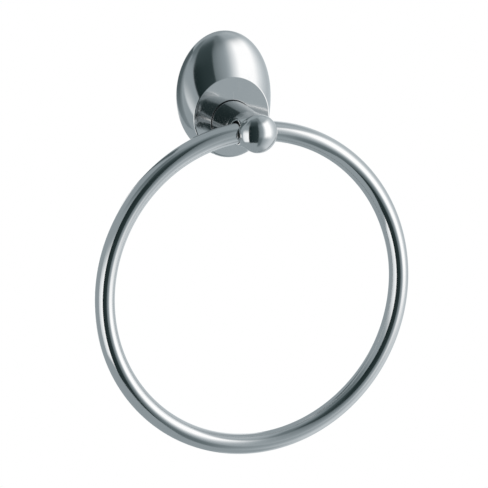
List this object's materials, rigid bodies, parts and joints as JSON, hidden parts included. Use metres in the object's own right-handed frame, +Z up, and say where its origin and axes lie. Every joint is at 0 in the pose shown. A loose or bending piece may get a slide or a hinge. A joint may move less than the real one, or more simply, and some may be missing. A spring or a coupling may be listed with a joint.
{
  "type": "towel ring",
  "caption": "Wall towel ring: an oval domed cover with a round facet, a post with a cross eye and a ball end, and a round ring that hangs and swings in the eye.",
  "frame": {"origin": "middle between the two wall screw holes, on the wall face, which is the middle of the oval cover", "axes": "+Z up, -Y out from the wall towards the viewer, +X to the viewer's right"},
  "size_m": [0.165, 0.0506, 0.2032],
  "materials": {
    "plated_cover": "polished",
    "plated_post": "polished",
    "plated_ring": "polished",
    "zinc_steel": "satin",
    "pressed_steel": "satin"
  },
  "bodies": {
    "wall_part": {"cover_plate": "plated_cover", "towel_post": "plated_post", "post_washer": "zinc_steel", "post_bolt": "zinc_steel", "wall_bracket": "pressed_steel", "grub_screw": "zinc_steel"},
    "ring": {"towel_ring": "plated_ring"}
  },
  "joints": [
    {"name": "ring_swing", "type": "hinge", "parent": "wall_part", "child": "ring", "pos_m": [0, -0.0377, -0.0126], "axis": [-1, 0, 0], "range_deg": [-12, 192]}
  ]
}
